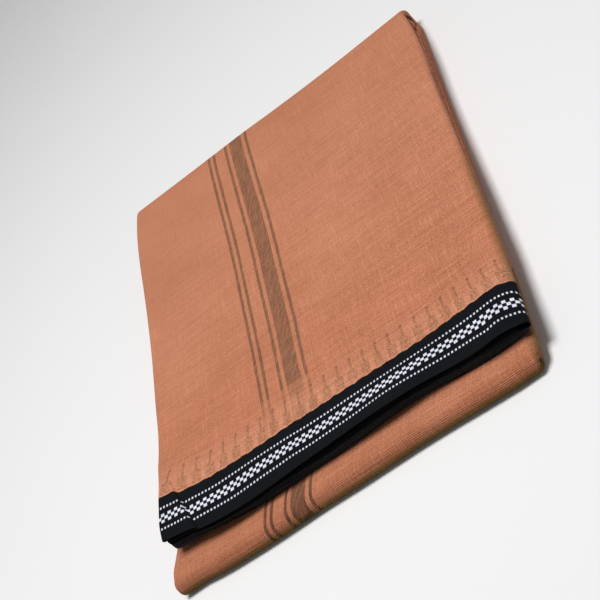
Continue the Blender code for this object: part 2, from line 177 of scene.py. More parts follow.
# How the woven border wanders, left to right: its shift along the selvedge, a further shift of the towers,
# and how far forward its edge, its upper dots, its checks and its lower dots lie
DRIFTS = table(
    "x slip fan edge top mid low",
    (-118.0, 0.0, -6.0, -2.2, 0.4, 0.6, 0.0),
    (-105.0, 0.0, -4.4, -1.5, 0.6, 0.9, 0.5),
    (-98.0, 0.0, -3.0, -0.7, 1.2, 1.2, 1.1),
    (-90.0, -0.4, -1.6, -0.2, 0.7, 1.1, 1.1),
    (-82.0, -0.5, -0.6, 0.4, 0.9, 0.9, 0.8),
    (-72.0, -0.3, 0.0, 0.4, 0.9, 0.9, 0.9),
    (-62.0, -0.2, 0.0, 0.0, 0.0, 0.5, 0.9),
    (-52.0, -0.2, 0.0, -0.1, -0.7, -0.4, 0.2),
    (-42.0, 0.1, 0.0, 0.0, -0.9, -0.9, -0.4),
    (-30.0, 0.3, 0.0, -0.2, -0.7, -1.1, -0.4),
    (-20.0, 0.5, 0.0, -0.3, -0.4, -0.9, -0.6),
    (-10.0, 0.8, 0.0, 0.2, 0.3, 0.1, 0.3),
    (0.0, 1.1, 0.0, 0.3, 0.5, 0.5, 0.6),
    (14.0, 1.35, 0.0, 0.3, 0.4, 0.7, 0.7),
    (25.0, 1.2, 0.0, 0.5, 0.3, 0.5, 0.5),
    (34.0, 0.8, 0.0, 0.6, 0.3, 0.0, -0.2),
    (44.0, 0.4, 0.0, 0.7, 0.3, -0.7, -1.1),
    (55.0, 0.1, 0.0, 1.0, 0.2, -1.0, -1.4),
    (66.0, 0.0, 0.0, 1.1, 0.0, -0.9, -1.0),
    (78.0, 0.0, 0.0, 0.3, -0.1, -0.6, -0.8),
    (87.0, 0.0, 0.0, -0.4, -0.3, -0.7, -0.7),
    (92.5, 0.0, 0.0, -0.3, -0.2, -0.2, -0.1),
    (97.0, -0.1, 0.0, -0.2, 0.2, 0.6, 0.9),
    (102.0, -0.2, 0.0, 0.1, 0.3, 0.7, 1.7),
    (107.0, -0.4, 0.0, -0.4, -0.2, -0.2, 0.4),
    (112.0, -0.5, 0.0, -0.9, -0.8, -0.7, 0.2),
    (118.0, -0.6, 0.0, 0.3, 0.3, 0.7, 1.1),
    (122.0, -0.6, 0.0, 2.0, 2.9, 2.7, 2.1),
)
# Along the cloth from the selvedge, where the drift passes from one column to the next
DRIFT_STEPS = ((8.6, 16.2, "mid"), (16.2, 24.0, "top"), (24.0, 32.0, "edge"))

# Unevenness of the two folds, left to right
FOLDS = table(
    "x far near",
    (-121.5, 1.6, 0.3),
    (-110.0, 1.5, 0.7),
    (-99.0, 1.3, 1.2),
    (-87.0, 1.1, 0.0),
    (-65.0, 0.9, -0.5),
    (-45.0, 0.8, -0.2),
    (-20.0, 0.6, 0.9),
    (5.0, -0.7, 1.0),
    (48.0, -1.5, 1.8),
    (98.0, 0.0, 0.5),
    (110.0, 0.5, 1.0),
    (121.5, 1.1, 1.6),
)

# Where the first thin stripe runs, along the cloth from the selvedge, and how the cloth is drawn in there
STRIPE_LINE = table(
    "s x drawn",
    (0.0, -35.2, 1.0),
    (31.0, -36.2, 1.0),
    (50.0, -36.3, 0.985),
    (65.0, -36.4, 0.975),
    (85.0, -37.1, 0.985),
    (110.0, -38.2, 0.995),
    (140.0, -40.0, 0.995),
    (203.3, -43.75, 1.0),
    (264.7, -49.15, 1.01),
    (311.6, -52.65, 1.02),
    (420.0, -54.5, 1.0),
    (560.0, -53.0, 1.0),
    (658.0, -51.2, 0.97),
    (676.6, -50.8, 0.945),
    (687.8, -49.2, 0.955),
    (697.0, -46.8, 0.96),
    (720.0, -44.6, 0.97),
    (745.0, -43.6, 1.0),
)

# Folded groups that show at the left of the band: the depths where each starts and ends, how far it stands
# back, how much that wanders, and the seed of its wandering
LIPS = table(
    "start end recess sway seed",
    (0.0, 2.4, 0.2, 0.25, 0.4),
    (2.4, 3.6, 0.7, 0.5, 1.9),
    (3.6, 4.2, 1.1, 0.8, 3.3),
    (4.2, 4.5, 1.9, 1.1, 4.1),
    (4.5, 4.8, 1.5, 1.3, 5.6),
)

# Hollows in the spine beside the inner turn: place along the cloth from the turn, depth and half width
HOLLOWS = table("place deep half", (0.5, 4.2, 4.2), (13.5, 3.4, 3.6))


# ---- reading tables, easing and joining ----

def straight(at, start, length):
    """0 up to the start, then evenly up to 1 over the length."""
    return np.clip((at - start) / length, 0.0, 1.0)


def grow(at, start, length):
    """0 up to the start, then easing to 1 over the length."""
    t = straight(at, start, length)
    return t * t * (3.0 - 2.0 * t)


def beside(*parts):
    """Join arrays, column after column."""
    return np.concatenate(parts, axis=1)


def travelled(points):
    """Distance along lines of points, from the first point of each."""
    steps = np.linalg.norm(np.diff(points, axis=-2), axis=-1)
    return np.concatenate((0.0 * steps[..., :1], np.cumsum(steps, axis=-1)), axis=-1)


def read_table(rows, column, at):
    """A smooth curve through one column of a table, whose first column is the place, read at any places."""
    keys = np.array([row[0] for row in rows])
    values = np.array([getattr(row, column) for row in rows])
    slopes = np.gradient(values, keys)
    slopes[1:-1] = (values[2:] - values[:-2]) / (keys[2:] - keys[:-2])
    at = np.clip(at, keys[0], keys[-1])
    i = np.clip(np.searchsorted(keys, at, side="right") - 1, 0, len(keys) - 2)
    span = keys[i + 1] - keys[i]
    t = (at - keys[i]) / span
    rise = values[i + 1] - values[i]
    a = slopes[i] * span - rise
    b = rise - slopes[i + 1] * span
    return values[i] + t * rise + t * (1 - t) * (a * (1 - t) + b * t)


def edge(side, y, z):
    """The parcel's left or right edge at a height, which differs between the passes and the underside."""
    low = read_table(EDGES, side + "_low", y)
    top = read_table(EDGES, side + "_top", y)
    if side == "right":
        low = low - read_table(EDGES, "right_back", y) * grow(z, MIDDLE - PASS_GAP, PASS_GAP - MIDDLE)
    return low + (top - low) * grow(z, MIDDLE, STACK - MIDDLE)


def sway(at, seed):
    """Slow uneven wandering between about -1 and 1."""
    return (0.55 * np.sin(at / 13.1 + 2.7 * seed) + 0.3 * np.sin(at / 5.9 + 5.1 * seed)
            + 0.15 * np.sin(at / 2.6 + 8.3 * seed))


RIPPLES = table("across along share", (41, 67, 0.4), (29, -53, 0.3), (17, 31, 0.2), (-13, 19, 0.1))


def ripple(x, y, seed):
    """Faint hand-made unevenness of a flat stretch, between about -1 and 1."""
    total = 0.0
    for number, row in enumerate(RIPPLES):
        total = total + row.share * np.sin(x / row.across + y / row.along + seed + 1.9 * number)
    return total


# ---- the folded path of the band, on its outer face ----

Course = namedtuple("Course", "y z angle s flap cover")


def course(y, z, angle, s, flap, cover):
    """One stretch of the path. Single values are spread over all of its places."""
    even = np.ones_like(np.asarray(y, float))
    return Course(*(np.asarray(value, float) * even for value in (y, z, angle, s, flap, cover)))


def joined(*courses):
    return Course(*(np.concatenate(parts) for parts in zip(*courses)))


def front_rise(y):
    return FRONT_RISE * grow(y, *FRONT_RISE_RUN)


def lower_top(y):
    """Height of the lower panel: it sinks from the near fold to the pass above."""
    return LOWER_FACE + (2 * NEAR_RADIUS - LOWER_FACE) * (1.0 - grow(y, *LOWER_SINK_RUN))


S_FAR = FAR_CENTRE - BORDER_EDGE + BORDER_DEPTH
S_BOTTOM = S_FAR + pi * FAR_RADIUS
S_NEAR = S_BOTTOM + FAR_CENTRE - NEAR_CENTRE
S_LOWER = S_NEAR + pi * NEAR_RADIUS
S_INNER = S_LOWER + FAR_CENTRE - NEAR_CENTRE
S_BACK = S_INNER + pi * INNER_TURN


def top_course(start, end, count):
    y = np.linspace(start, end, count)
    return course(y, STACK + front_rise(y), 90.0, y - BORDER_EDGE + BORDER_DEPTH, 1.0, COVER)


def round_course(middle, radius, start, end, s, count, facing=0.0, cover=COVER):
    """A round fold about its middle, from one angle to another."""
    y, z = middle
    angle = np.linspace(start, end, count)
    a = np.radians(angle)
    turned = radius * abs(a - a[0])
    return course(y + radius * np.cos(a), z + radius * np.sin(a), angle + facing, s + turned, 0.0, cover)


def far_course(count):
    return round_course((FAR_CENTRE, MIDDLE), FAR_RADIUS, 90.0, -90.0, S_FAR, count)


def bottom_course(start, end, count):
    y = np.linspace(start, end, count)
    return course(y, 0.0, -90.0, S_BOTTOM + FAR_CENTRE - y, 0.0, COVER)


def near_course(count):
    return round_course((NEAR_CENTRE, NEAR_RADIUS), NEAR_RADIUS, -90.0, -270.0, S_NEAR, count)


def lower_course(start, end, count):
    """The lower panel, and its hidden run once the sheet over it has ended."""
    y = np.linspace(start, end, count)
    cover = COVER * (1.0 - grow(y, *LOWER_COVER_RUN))
    return course(y, lower_top(y), 90.0, S_LOWER + y - NEAR_CENTRE, 0.0, cover)


def turn_course(count):
    """The inner turn, whose outer face is on the inside of the fold."""
    return round_course((FAR_CENTRE, MIDDLE), INNER_TURN, -90.0, 90.0, S_INNER, count, 180.0, 0.0)


def inner_course(start, end, count):
    y = np.linspace(start, end, count)
    return course(y, FLAP_FACE + front_rise(y), -90.0, S_BACK + FAR_CENTRE - y, 1.0, 0.0)


# ---- unevenness that every piece shares ----

def corner_lift(x, y):
    """The flap's front left corner stands clear of the lower panel."""
    return CORNER_LIFT * grow(x, *CORNER_RUN_X) * grow(y, *CORNER_RUN_Y)


def crease_across(x, y):
    """Distance from the crease, larger to its left."""
    (x0, y0), (x1, y1) = CREASE
    dx, dy = x1 - x0, y1 - y0
    return ((x - x0) * dy - (y - y0) * dx) / np.hypot(dx, dy)


def crease_share(x, y):
    """1 to the left of the crease, 0 to its right, and nothing behind its start."""
    return grow(crease_across(x, y), -CREASE_WIDTH / 2, CREASE_WIDTH) * grow(y, *CREASE_RUN)


def outer_lift(x, y, crease_height):
    """What the outermost layer does above the layers under it."""
    crease = crease_height * crease_share(x, y)
    hump = grow(abs(x - SPINE_HUMP_X), SPINE_HUMP_REACH, -SPINE_HUMP_REACH) * grow(y, *SPINE_HUMP_RUN)
    curl = read_table(FRONT, "curl", x) * grow(y, *CURL_RUN)
    return crease + SPINE_HUMP * hump + curl


def settle(x, y, z, flap):
    """Move points of the even parcel to where the cloth lies."""
    far = read_table(FOLDS, "far", x) * grow(y, *FAR_FOLD_RUN)
    near = read_table(FOLDS, "near", x) * grow(y, *NEAR_FOLD_RUN) * (1.0 - flap)
    return np.stack((x, y + far + near, z + flap * corner_lift(x, y)), axis=-1)


def place(run, x, depth):
    """Points of the band's section, a row for each place of the run, set on the folded path."""
    lean = np.radians(run.angle)[:, None]
    y = run.y[:, None] - depth * np.cos(lean)
    z = run.z[:, None] - depth * np.sin(lean)
    return settle(x, y, z, run.flap[:, None])


# ---- the thin outer sheets ----

ROLL_BACK_DEPTH = 2 * ROLL - 0.05
ROLL_ANGLES = np.radians(np.linspace(270.0, 90.0, 12))
HAIRPIN_ANGLES = np.radians(np.linspace(90.0, -90.0, 16))


def flat_columns(left, right, y):
    """Places of the columns on the flat of a sheet. They crowd beside the crease and follow it."""
    start = (left + ROLL)[:, None]
    end = (right - SPINE_RADIUS)[:, None]
    even_start, even_end = EVEN_COLUMNS
    (x0, y0), (x1, y1) = CREASE
    crease = (x0 + (x1 - x0) / (y1 - y0) * (np.minimum(y, y0) - y0))[:, None]
    to_crease = 1.0 - (1.0 - np.linspace(0.0, 1.0, 15)[1:-1]) ** 1.6
    from_crease = np.linspace(0.0, 1.0, 25)[:-1] ** 1.7
    even = np.linspace(even_start, even_end, 58)[:-1]
    to_spine = np.linspace(0.0, 1.0, 21)[:-1]
    return beside(start + (crease - start) * to_crease, crease + (even_start - crease) * from_crease,
                  even + 0.0 * start, even_end + (end - even_end) * to_spine)


def sheet_section(left, right, y, closing):
    """The outermost layer, in rows: rolled under at the left, across, round the spine and a little way back.

    The closing is how much deeper than the band the sheet goes round the spine. Returns x, the depth from the
    outer face, and the place across the cloth.
    """
    start = (left + ROLL)[:, None]
    end = (right - SPINE_RADIUS)[:, None]
    back = np.array(ROLL_RETURN)
    roll_x = beside(start + back, start + ROLL * np.cos(ROLL_ANGLES))
    roll_depth = np.concatenate((ROLL_BACK_DEPTH + 0.0 * back, ROLL - ROLL * np.sin(ROLL_ANGLES)))
    roll_across = beside(start - pi * ROLL - back, start - ROLL * (ROLL_ANGLES - pi / 2))
    flat = flat_columns(left, right, y)
    on = SHEET_RETURN * np.array(RETURN_STEPS)
    spine_x = beside(end + SPINE_RADIUS * np.cos(HAIRPIN_ANGLES), end - on)
    spine_depth = np.concatenate((SPINE_RADIUS - SPINE_RADIUS * np.sin(HAIRPIN_ANGLES), BAND + 0.0 * on))
    spine_across = beside(end + SPINE_RADIUS * (pi / 2 - HAIRPIN_ANGLES), end + pi * SPINE_RADIUS + on)
    x = beside(roll_x, flat, spine_x)
    depth = beside(roll_depth + 0.0 * start, 0.0 * flat, spine_depth * (1.0 + closing[:, None] / BAND))
    across = beside(roll_across, flat, spine_across)
    return x, depth, across


def thread_chart(across, s):
    """UV of the cloth: across from the first stripe's line, along from the selvedge."""
    line = read_table(STRIPE_LINE, "x", s)
    drawn = read_table(STRIPE_LINE, "drawn", s)
    loose = 1.0 - grow(s, *DRIFT_END_RUN)
    drift = read_table(DRIFTS, "low", across)
    for start, end, column in DRIFT_STEPS:
        drift = drift + (read_table(DRIFTS, column, across) - drift) * straight(s, start, end - start)
    fan = read_table(DRIFTS, "fan", across) * straight(s, *FAN_RUN)
    slip = read_table(DRIFTS, "slip", across) + fan
    drift = drift + TOWER_LEAN * fan * straight(s, *SPREAD_RUN)
    return np.stack(((across - line) / drawn - slip * loose, s + drift * loose), axis=-1)


def sheet_rows(run, closing, crease_height=0.0):
    """Points and chart of a sheet along a run of the path."""
    left = edge("left", run.y, run.z)
    right = edge("right", run.y, run.z)
    x, depth, across = sheet_section(left, right, run.y, closing)
    points = place(run, x, depth)
    y = points[..., 1]
    level = RIPPLE_HEIGHT * grow(abs(x), *RIPPLE_RUN_X) * grow(y, *RIPPLE_RUN_Y)
    lift = outer_lift(x, y, crease_height) + level * ripple(x, run.s[:, None], 0.7)
    points[..., 2] += run.flap[:, None] * lift
    return points, thread_chart(across, run.s[:, None])


def border_rows(count, crease_height):
    """Points and chart of the flap's border, between its uneven selvedge and the body cloth."""
    t = np.linspace(0.0, 1.0, count)[:-1] ** 1.15
    y_mid = BORDER_EDGE - BORDER_DEPTH * (1.0 - t)
    top = STACK * np.ones_like(t)
    x, depth, across = sheet_section(edge("left", y_mid, top), edge("right", y_mid, top), y_mid, 0.0 * y_mid)
    under = (depth > ROLL) & (x < 0.0)
    front = read_table(FRONT, "outer_y", np.where(under, x.min(axis=1)[:, None], x))
    front = front + SELVEDGE_SWAY * sway(x, 2.2)
    y = front + (BORDER_EDGE - front) * t[:, None]
    z = STACK + front_rise(y) - depth
    points = settle(x, y, z, 1.0)
    points[..., 2] += outer_lift(x, points[..., 1], crease_height)
    return points, thread_chart(across, y - BORDER_EDGE + BORDER_DEPTH)


def new_grid(name, points, chart):
    """A grid laid through rows of points, with its chart as the UV map."""
    rows, columns = points.shape[:2]
    bpy.ops.object.select_all(action="DESELECT")
    bpy.ops.mesh.primitive_grid_add(x_subdivisions=columns - 1, y_subdivisions=rows - 1, size=1.0)
    piece = bpy.context.object
    piece.name = name
    mesh = piece.data
    mesh.name = name
    mesh.vertices.foreach_set("co", ((points - CENTRE) * MM).ravel())
    corners = np.empty(len(mesh.loops), np.int32)
    mesh.loops.foreach_get("vertex_index", corners)
    threads = mesh.uv_layers[0]
    threads.name = THREADS
    threads.data.foreach_set("uv", (chart.reshape(-1, 2)[corners] * MM).ravel())
    mesh.update()
    return piece


def thicken(piece, thickness):
    """Give a sheet its thickness, inwards from its outer face."""
    wall = piece.modifiers.new("Cloth thickness", "SOLIDIFY")
    wall.thickness = thickness * MM
    wall.offset = -1.0
    wall.use_even_offset = True
    wall.use_quality_normals = True
    bpy.ops.object.modifier_apply(modifier=wall.name)
    bpy.ops.object.shade_smooth_by_angle(angle=radians(48.0))


def close_tube(piece):
    """Join a grid's first and last columns, cap its two ends and point its faces outwards."""
    bpy.ops.object.mode_set(mode="EDIT")
    bpy.ops.mesh.select_all(action="SELECT")
    bpy.ops.mesh.remove_doubles(threshold=0.002 * MM)
    bpy.ops.mesh.fill_holes(sides=0)
    bpy.ops.mesh.select_all(action="SELECT")
    bpy.ops.mesh.normals_make_consistent(inside=False)
    bpy.ops.object.mode_set(mode="OBJECT")
    bpy.ops.object.shade_smooth_by_angle(angle=radians(62.0))


# ---- the layered edges of the hidden band ----

LIP_NOTCH = 0.8   # how far the groove between two groups goes in
LIP_TUCK = 5.0    # how far back the outermost group stands where a sheet is rolled round it
LIP_ROOT = 6.0    # from the parcel's edge to the flat of the band


def lip_profile(depth, s, covered):
    """How far the folded groups at the left stand back from the parcel's edge, at each depth."""
    recess = np.zeros(np.broadcast(depth, s).shape)
    for lip in LIPS:
        middle = (lip.start + lip.end) / 2
        half = (lip.end - lip.start) / 2
        t = np.clip(abs(depth - middle) / half, 0.0, 1.0)
        back = lip.recess + lip.sway * sway(s, lip.seed) + half * (1.0 - np.sqrt(1.0 - t ** 2))
        back = back + LIP_NOTCH * t ** 10
        if lip.start == 0.0:
            back = back + covered * (LIP_TUCK - back)
        inside = (depth >= lip.start) & (depth <= lip.end)
        recess = np.where(inside, back, recess)
    return recess


def hairpin_profile(depth, cover):
    """How far the spine stands back from the parcel's edge, at each depth."""
    radius = SPINE_RADIUS - cover
    off = np.clip(abs(depth - SPINE_RADIUS) / radius, 0.0, 1.0)
    return cover + radius * (1.0 - np.sqrt(1.0 - off ** 2))


def hollow(s, depth):
    """How far the spine is pressed in beside the inner turn, most in the middle of its thickness."""
    total = 0.0
    for row in HOLLOWS:
        total = total + row.deep * np.exp(-((s - S_BACK - row.place) / row.half) ** 2)
    return total * np.sin(pi * straight(depth, 0.0, BAND))


def band_loops(run):
    """Closed sections of the hidden band: across its outer face, round the spine, back, and over the lips."""
    left = edge("left", run.y, run.z)[:, None]
    right = edge("right", run.y, run.z)[:, None]
    cover = run.cover[:, None]
    s = run.s[:, None]
    start = left + LIP_ROOT
    end = right - SPINE_RADIUS
    flat = start + (end - start) * np.linspace(0.0, 1.0, 26)
    spine_depth = SPINE_RADIUS - (SPINE_RADIUS - cover) * np.cos(pi * np.linspace(0.0, 1.0, 18)[1:-1])
    spine_x = right - hairpin_profile(spine_depth, cover) - hollow(s, spine_depth)
    under_depth = BAND - cover * grow(flat, end - SHEET_RETURN - 2.0, 1.6)
    lip_depth = BAND + (cover - BAND) * np.linspace(0.0, 1.0, 44)
    lip_x = left + lip_profile(lip_depth, s, cover / COVER)
    x = beside(flat, spine_x, flat[:, ::-1], lip_x, flat[:, :1])
    depth = beside(cover + 0.0 * flat, spine_depth, under_depth[:, ::-1], lip_depth, cover)
    points = place(run, x, depth)
    around = travelled(points)
    return points, np.stack((around, s + 0.0 * around), axis=-1)


# ---- the black border ends of the hidden layers ----

# The upper and the lower border ends: the column of their front, the depth at which they start, how much of
# the mouth they leave open, how far they stand back at the front and at the left, and how many selvedges show
UPPER_ENDS, LOWER_ENDS = table(
    "front cover mouth set_back pull_in low ribs",
    ("outer_y", COVER, 1.0, 0.0, -1.4, False, 8),
    ("inner_y", 0.0, 0.0, -0.4, 1.8, True, 9),
)
ENDS_FRONT = (3.5, 119.0)   # where the front starts, from the left edge, and where it ends
ENDS_SPINE_START = -145.0
ENDS_ROOT = (6.5, 3.5)      # how far in the back of the border ends is from their left and right sides
LEFT_TURN = (-0.8, -0.15)   # how squarely the plan faces left where the folded groups take over
RIGHT_TURN = (0.45, 0.4)    # how squarely it faces right where the spine takes over
RIB_BACK = 0.55             # how far the selvedges stand back, and how unevenly
RIB_SWAY = 0.5
RIB_RAGGED = 0.18
RIB_SHOULDER = 1.92


def smooth_plan(points, spacing, rounds):
    """Resample a plan line evenly and round its corners."""
    for _ in range(rounds):
        lengths = travelled(points)
        even = np.linspace(0.0, lengths[-1], int(lengths[-1] / spacing) + 1)
        points = np.stack([np.interp(even, lengths, points[:, axis]) for axis in (0, 1)], axis=1)
        inner = 0.25 * points[:-2] + 0.5 * points[1:-1] + 0.25 * points[2:]
        points = np.concatenate((points[:1], inner, points[-1:]))
    return points


def border_plan(ends):
    """Plan of the border ends: down the left side, along the front and back beside the spine."""
    level = MIDDLE if ends.low else STACK
    y = np.linspace(BORDER_EDGE, LIPS_END_RUN[0], 12)
    left = edge("left", y, level) + ends.pull_in * grow(y, *PULL_IN_RUN)
    front_in, front_end = ENDS_FRONT
    x = np.linspace(left[-1] + front_in, front_end, 90)
    front = read_table(FRONT, ends.front, x) + ends.mouth * read_table(FRONT, "mouth", x) + ends.set_back
    y_back = np.linspace(ENDS_SPINE_START, BORDER_EDGE, 14)
    right = edge("right", y_back, level)
    sides = [np.stack(side, axis=1) for side in ((left, y), (x, front), (right, y_back))]
    return smooth_plan(np.concatenate(sides), 1.2, 2)


def rib_profile(depth, along, start, ribs):
    """How far the stacked selvedges at the front stand back, at each depth."""
    height = (BAND - start) / ribs
    number = np.clip(np.floor((depth - start) / height), 0, ribs - 1)
    t = abs((depth - start) / height - number - 0.5) * 2.0
    loose = (RIB_BACK + RIB_SWAY * sway(along * 0.55, 1.3 * number + 0.4)
             + RIB_RAGGED * sway(along * 1.7, 2.1 * number))
    shoulder = RIB_SHOULDER * ((depth - start) / (BAND - start) - 0.5) ** 2
    rounding = 0.5 * height * (1.0 - np.sqrt(np.clip(1.0 - t ** 2, 0.0, 1.0)))
    return np.maximum(loose, 0.0) + shoulder + rounding


def border_loops(ends):
    """Closed sections from the back of the border out to its edge, over it, and back again."""
    cover = ends.cover
    plan = border_plan(ends)
    plan_x, plan_y = plan[:, :1], plan[:, 1:]
    along = travelled(plan)[:, None]
    tangent = np.gradient(plan, axis=0)
    tangent /= np.linalg.norm(tangent, axis=1)[:, None]
    out_x, out_y = tangent[:, 1:], -tangent[:, :1]
    at_left = grow(out_x, *LEFT_TURN)
    at_right = grow(out_x, *RIGHT_TURN)
    depth = cover + (BAND - cover) * np.linspace(0.0, 1.0, 46)[None, :]
    s = BORDER_DEPTH + plan_y - BORDER_EDGE
    if ends.low:
        s = S_BACK + FAR_CENTRE - plan_y
    lips = lip_profile(depth, s, cover / COVER) * (1.0 - 0.85 * grow(plan_y, *LIPS_END_RUN))
    back = (at_left * lips + at_right * hairpin_profile(np.clip(depth, cover, BAND - cover), cover)
            + (1.0 - at_left - at_right) * rib_profile(depth, along, cover, ends.ribs))
    root_left, root_right = plan[0, 0] + ENDS_ROOT[0], plan[-1, 0] - ENDS_ROOT[1]
    root_x = root_left + (root_right - root_left) * along / along[-1]
    rim_x = plan_x - out_x * back
    rim_y = np.minimum(plan_y - out_y * back, BORDER_EDGE)
    t = np.linspace(0.0, 1.0, 9)[:-1]
    top_x = root_x + (rim_x[:, :1] - root_x) * t
    top_y = BORDER_EDGE + (rim_y[:, :1] - BORDER_EDGE) * t
    low_x = root_x + (rim_x[:, -1:] - root_x) * t[::-1]
    low_y = BORDER_EDGE + (rim_y[:, -1:] - BORDER_EDGE) * t[::-1]
    x = beside(top_x, rim_x, low_x, top_x[:, :1])
    y = beside(top_y, rim_y, low_y, top_y[:, :1])
    inwards = beside(cover + 0.0 * top_x, depth + 0.0 * along, BAND + 0.0 * low_x, cover + 0.0 * along)
    z = STACK + front_rise(y) - inwards
    if ends.low:
        z = FLAP_FACE + front_rise(y) + inwards
    points = settle(x, y, z, 1.0)
    around = travelled(points)
    return points, np.stack((along + 0.0 * around, around), axis=-1)


# ---- node trees ----

class Loom:
    """Lays shader nodes in a tree and joins them, a short line for each step."""

    def __init__(self, tree):
        self.tree = tree
        self.count = 0

    def node(self, kind, inputs=None, **settings):
        """A new node with its settings and its inputs, each by name or number."""
        node = self.tree.nodes.new(kind)
        node.location = (190 * (self.count // 7), -170 * (self.count % 7))
        self.count += 1
        for name, value in settings.items():
            setattr(node, name, value)
        self.feed(node, inputs or {})
        return node

    def feed(self, node, inputs):
        for name, value in inputs.items():
            self.join(value, node.inputs[name])

    def join(self, value, socket):
        if isinstance(value, bpy.types.NodeSocket):
            self.tree.links.new(value, socket)
        else:
            socket.default_value = value

    def math(self, operation, *values, clamp=False):
        inputs = dict(enumerate(values))
        return self.node("ShaderNodeMath", inputs, operation=operation, use_clamp=clamp).outputs[0]

    def times(self, first, second):
        return self.math("MULTIPLY", first, second)

    def minus(self, first, second):
        return self.math("SUBTRACT", first, second)

    def ramp(self, value, gain, base, clamp=False):
        """The value times the gain, on top of the base."""
        return self.math("MULTIPLY_ADD", value, gain, base, clamp=clamp)

    def vary(self, base, noise, gain):
        """The base, moved up and down by a noise."""
        return self.ramp(self.minus(noise, 0.5), gain, base)

    def wave(self, at, pitch, kind="SINE"):
        return self.math(kind, self.times(at, 2 * pi / pitch))

    def opposite(self, mask):
        return self.minus(1.0, mask)

    def blend(self, share, first, second):
        """Mix two colours."""
        return self.node("ShaderNodeMix", {0: share, 6: first, 7: second}, data_type="RGBA").outputs[2]

    def shade(self, colour, tone):
        """Multiply a colour by a value."""
        return self.node("ShaderNodeVectorMath", {0: colour, "Scale": tone}, operation="SCALE").outputs[0]

    def weather(self, colour, tone):
        """Multiply a colour by a value, its green and blue more strongly."""
        off = self.minus(tone, 1.0)
        tones = self.vector(tone, self.ramp(off, 1.4, 1.0), self.ramp(off, 1.8, 1.0))
        return self.node("ShaderNodeVectorMath", {0: colour, 1: tones}, operation="MULTIPLY").outputs[0]

    def vector(self, x, y, z=0.0):
        return self.node("ShaderNodeCombineXYZ", {0: x, 1: y, 2: z}).outputs[0]

    def millimetres(self, place_on):
        """The first two coordinates of a place, in millimetres."""
        split = self.node("ShaderNodeSeparateXYZ", {0: place_on})
        return self.times(split.outputs["X"], 1.0 / MM), self.times(split.outputs["Y"], 1.0 / MM)

    def noise(self, at, scale, detail=2.0, roughness=0.5):
        inputs = {"Vector": at, "Scale": scale, "Detail": detail, "Roughness": roughness}
        return self.node("ShaderNodeTexNoise", inputs).outputs["Fac"]

    def streaks(self, across, along, fineness, seed=0.0, detail=2.0):
        """Noise drawn out one way, for yarns: how fine it is across the cloth and along it."""
        fine_across, fine_along = fineness
        place_on = self.vector(self.times(across, fine_across), self.times(along, fine_along), seed)
        return self.noise(place_on, 1.0, detail)

    def strip(self, at, middle, half, soft=0.25):
        """1 within half of the middle, 0 outside, with a soft side."""
        off = self.math("ABSOLUTE", self.minus(at, middle))
        return self.ramp(self.minus(half, off), 1.0 / soft, 0.5, clamp=True)

    def beyond(self, at, start, soft=0.25):
        """0 before the start, 1 after it."""
        return self.ramp(self.minus(at, start), 1.0 / soft, 0.5, clamp=True)

    def between(self, at, start, start_soft, end, end_soft):
        """1 between two places, each with its own softness."""
        return self.times(self.beyond(at, start, start_soft), self.opposite(self.beyond(at, end, end_soft)))

    def repeat(self, at, pitch, shift=0.0):
        """Signed distance from the middle of the nearest repeat."""
        turn = self.math("FRACT", self.ramp(at, 1.0 / pitch, shift))
        return self.times(self.minus(turn, 0.5), pitch)

    def all_of(self, *masks):
        return reduce(self.times, masks)

    def any_of(self, *masks):
        return reduce(lambda first, second: self.math("MAXIMUM", first, second), masks)


def new_group(name, outputs, more_inputs=()):
    """A node group that is given a place on the cloth. Returns its loom, and what it is given and gives."""
    tree = bpy.data.node_groups.new(name, "ShaderNodeTree")
    for label, default in (("Across", 0.0), ("Along", 0.0), *more_inputs):
        socket = tree.interface.new_socket(name=label, in_out="INPUT", socket_type="NodeSocketFloat")
        socket.default_value = default
    for label in outputs:
        tree.interface.new_socket(name=label, in_out="OUTPUT", socket_type="NodeSocketFloat")
    loom = Loom(tree)
    return loom, loom.node("NodeGroupInput").outputs, loom.node("NodeGroupOutput").inputs


CLOTH_MIDDLE = 350.0  # along the cloth from the selvedge, where its tones are most even


